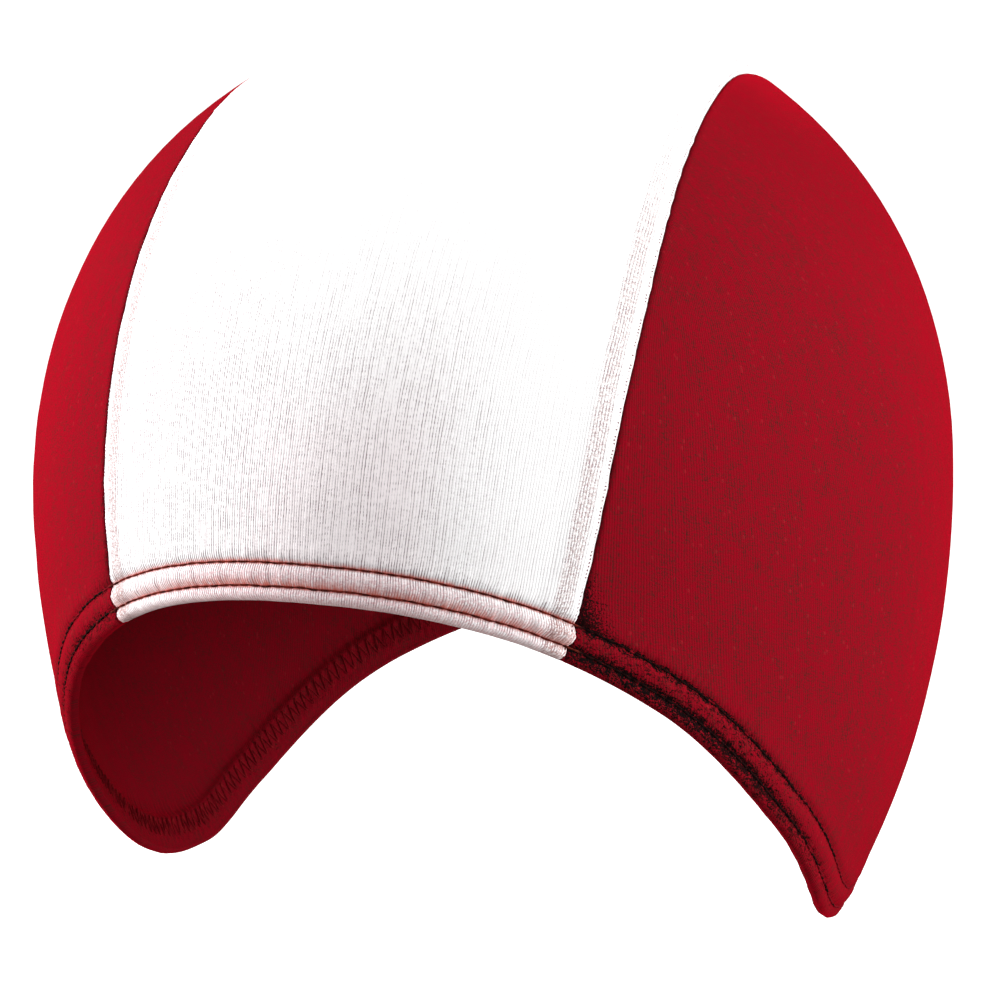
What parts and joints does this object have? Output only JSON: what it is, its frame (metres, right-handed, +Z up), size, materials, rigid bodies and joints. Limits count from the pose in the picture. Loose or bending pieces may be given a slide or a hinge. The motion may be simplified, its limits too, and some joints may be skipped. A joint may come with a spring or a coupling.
{
  "type": "swim cap",
  "caption": "Knitted swim cap in its worn form: a light centre panel between two darker side panels, with a topstitched hem that covers the ears.",
  "frame": {"origin": "top of the wearer's head, where the inside of the crown rests on it", "axes": "+Z up, the wearer faces -Y, +X towards the wearer's left ear"},
  "size_m": [0.1546, 0.1988, 0.1559],
  "materials": {
    "white_knit": "fine stretch jersey",
    "red_knit": "fine stretch jersey"
  },
  "bodies": {
    "root": {"panel_centre": "white_knit", "panel_left": "red_knit", "panel_right": "red_knit"}
  },
  "joints": []
}
